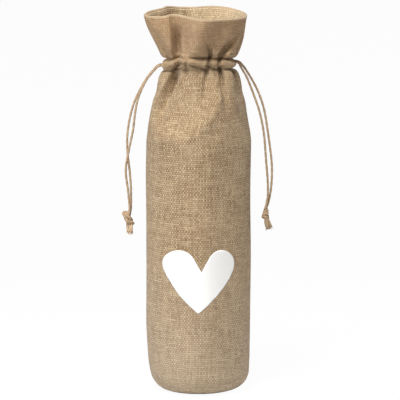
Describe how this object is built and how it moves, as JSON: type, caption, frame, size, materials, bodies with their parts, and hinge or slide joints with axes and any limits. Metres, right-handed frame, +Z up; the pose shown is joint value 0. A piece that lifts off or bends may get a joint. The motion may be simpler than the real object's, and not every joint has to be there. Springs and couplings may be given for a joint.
{
  "type": "wine gift bag",
  "caption": "Tall round cloth gift bag for a wine bottle, gathered at the neck by drawstrings with knotted tails below an open frill, with a printed heart on the front.",
  "frame": {"origin": "middle of the base, on the surface that the bag stands on", "axes": "+Z up from the base to the mouth, -Y towards the printed front, +X to the right as seen from the front"},
  "size_m": [0.1339, 0.0933, 0.336],
  "materials": {
    "cloth": "coarse plain weave, natural jute colour",
    "lining": "the same cloth, turned in",
    "seam": "turned-in raw edges",
    "thread": "sewing thread",
    "twine": "twisted jute twine",
    "print": "matt white textile print"
  },
  "bodies": {
    "bag": {"front_panel": "cloth", "back_panel": "cloth", "base_panel": "cloth", "front_facing": "lining", "back_facing": "lining", "left_side_seam": "seam", "right_side_seam": "seam", "base_seam": "seam", "upper_channel_stitches": "thread", "lower_channel_stitches": "thread", "heart_print": "print", "left_cord_loop": "twine", "right_cord_loop": "twine"},
    "left_cord": {"left_cord_stubs": "twine"},
    "left_tail": {"left_front_strand": "twine", "left_back_strand": "twine", "left_knot": "twine", "left_cord_ends": "twine"},
    "right_cord": {"right_cord_stubs": "twine"},
    "right_tail": {"right_front_strand": "twine", "right_back_strand": "twine", "right_knot": "twine", "right_cord_ends": "twine"}
  },
  "joints": [
    {"name": "left_pull", "type": "slide", "parent": "bag", "child": "left_cord", "axis": [-1, 0, 0], "range_m": [0, 0.012]},
    {"name": "left_swing", "type": "hinge", "parent": "left_cord", "child": "left_tail", "pos_m": [-0.0339, 0, 0.2899], "axis": [0, 1, 0], "range_deg": [-3, 80]},
    {"name": "right_pull", "type": "slide", "parent": "bag", "child": "right_cord", "axis": [1, 0, 0], "range_m": [0, 0.012]},
    {"name": "right_swing", "type": "hinge", "parent": "right_cord", "child": "right_tail", "pos_m": [0.0339, 0, 0.2931], "axis": [0, -1, 0], "range_deg": [-3, 80]}
  ]
}
